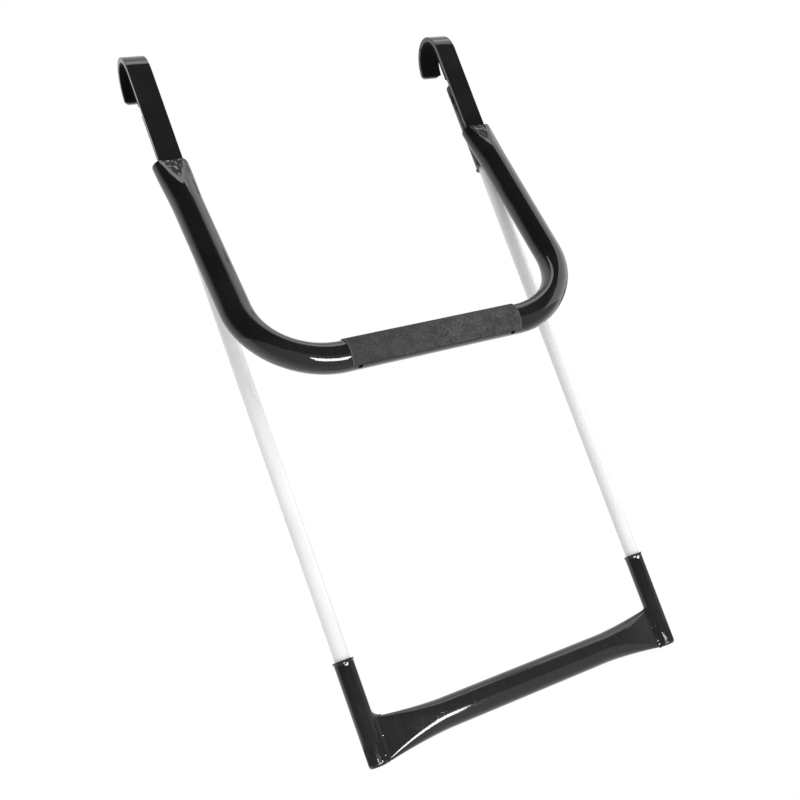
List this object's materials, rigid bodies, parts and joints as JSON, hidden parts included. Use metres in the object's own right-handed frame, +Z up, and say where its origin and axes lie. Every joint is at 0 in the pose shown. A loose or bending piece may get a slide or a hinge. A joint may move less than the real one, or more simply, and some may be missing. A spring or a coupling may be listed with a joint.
{
  "type": "ladder",
  "caption": "Hook-over pool ladder: padded flat-bar hooks, a U-shaped tube step with grip tape, slim legs in sleeves and a lower tube step.",
  "frame": {"origin": "centre of the rail that the hooks hang on, midway between the two hooks", "axes": "+Z up; X across the ladder along the rail, +X to the right of someone facing the steps; the climber stands on the -Y side"},
  "size_m": [0.3112, 0.1221, 0.63],
  "materials": {
    "black_gloss_coat": "gloss black coating on steel tube",
    "black_hook_coat": "gloss black coating on flat bar",
    "white_coat": "gloss white coating on steel tube",
    "liner": "matte black rubber",
    "grip_tape": "gritty dark grey anti-slip tape",
    "cap_plastic": "satin black plastic",
    "button_steel": "bright plated steel",
    "spring_steel": "spring steel strip"
  },
  "bodies": {
    "ladder": {"upper_step_tube": "black_gloss_coat", "step_grip_tape": "grip_tape", "lower_step_tube": "black_gloss_coat", "left_hook_bar": "black_hook_coat", "left_hook_liner": "liner", "left_upper_sleeve": "black_gloss_coat", "left_upper_cap": "cap_plastic", "left_upper_spring": "spring_steel", "left_leg_tube": "white_coat", "left_lower_sleeve": "black_gloss_coat", "left_foot_cap": "cap_plastic", "left_lower_spring": "spring_steel", "right_hook_bar": "black_hook_coat", "right_hook_liner": "liner", "right_upper_sleeve": "black_gloss_coat", "right_upper_cap": "cap_plastic", "right_upper_spring": "spring_steel", "right_leg_tube": "white_coat", "right_lower_sleeve": "black_gloss_coat", "right_foot_cap": "cap_plastic", "right_lower_spring": "spring_steel"},
    "left_upper_button": {"left_upper_button": "button_steel"},
    "left_lower_button": {"left_lower_button": "button_steel"},
    "right_upper_button": {"right_upper_button": "button_steel"},
    "right_lower_button": {"right_lower_button": "button_steel"}
  },
  "joints": [
    {"name": "left_upper_button_press", "type": "slide", "parent": "ladder", "child": "left_upper_button", "axis": [0, -1, 0], "range_m": [0, 0.003], "stiffness_N_per_m": 900, "springref_m": -0.001, "deforming": ["left_upper_spring"]},
    {"name": "left_lower_button_press", "type": "slide", "parent": "ladder", "child": "left_lower_button", "axis": [0, 1, 0], "range_m": [0, 0.003], "stiffness_N_per_m": 900, "springref_m": -0.001, "deforming": ["left_lower_spring"]},
    {"name": "right_upper_button_press", "type": "slide", "parent": "ladder", "child": "right_upper_button", "axis": [0, -1, 0], "range_m": [0, 0.003], "stiffness_N_per_m": 900, "springref_m": -0.001, "deforming": ["right_upper_spring"]},
    {"name": "right_lower_button_press", "type": "slide", "parent": "ladder", "child": "right_lower_button", "axis": [0, 1, 0], "range_m": [0, 0.003], "stiffness_N_per_m": 900, "springref_m": -0.001, "deforming": ["right_lower_spring"]}
  ]
}
